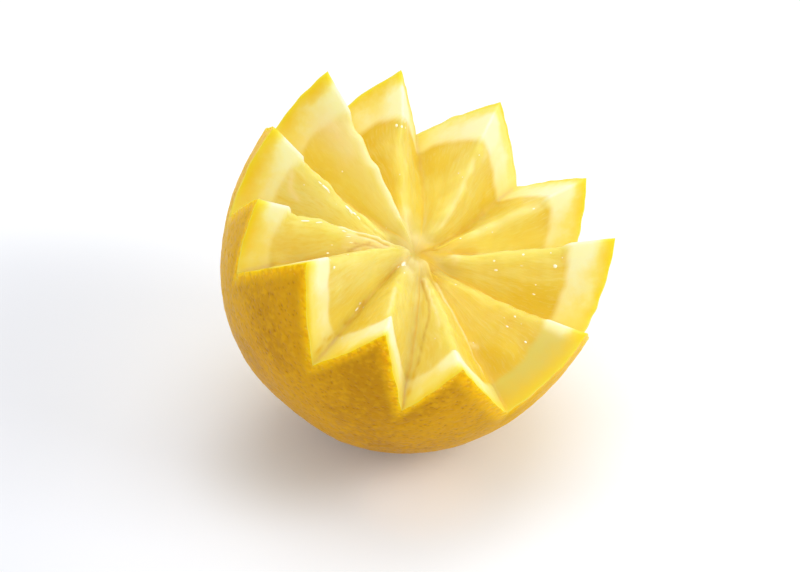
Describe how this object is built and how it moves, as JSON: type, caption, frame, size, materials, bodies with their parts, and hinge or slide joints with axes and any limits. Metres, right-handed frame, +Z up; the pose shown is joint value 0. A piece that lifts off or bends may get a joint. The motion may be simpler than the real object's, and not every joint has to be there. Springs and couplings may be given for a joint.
{
  "type": "lemon half cut as a crown",
  "caption": "Half a ripe lemon with a zigzag cut edge, its skin, white pith and juicy pulp showing in a star of flat facets, lying tilted on its flank.",
  "frame": {"origin": "middle of the small flat where the flank rests on the surface", "axes": "+Z up from the surface; +X to the right and -Y towards the side that the cut leans to; the fruit's own axis leans 26 degrees from +Z towards azimuth -33 degrees"},
  "size_m": [0.0643, 0.0627, 0.0585],
  "materials": {
    "peel": "waxy lemon skin, finely dimpled with oil glands, semi-gloss",
    "pith": "cut pith and rim, creamy white, matt and slightly translucent",
    "pulp": "wet translucent juice sacs, cut flat, glossy",
    "juice": "clear pale yellow droplets"
  },
  "bodies": {
    "root": {"lemon_half": "peel"}
  },
  "joints": []
}
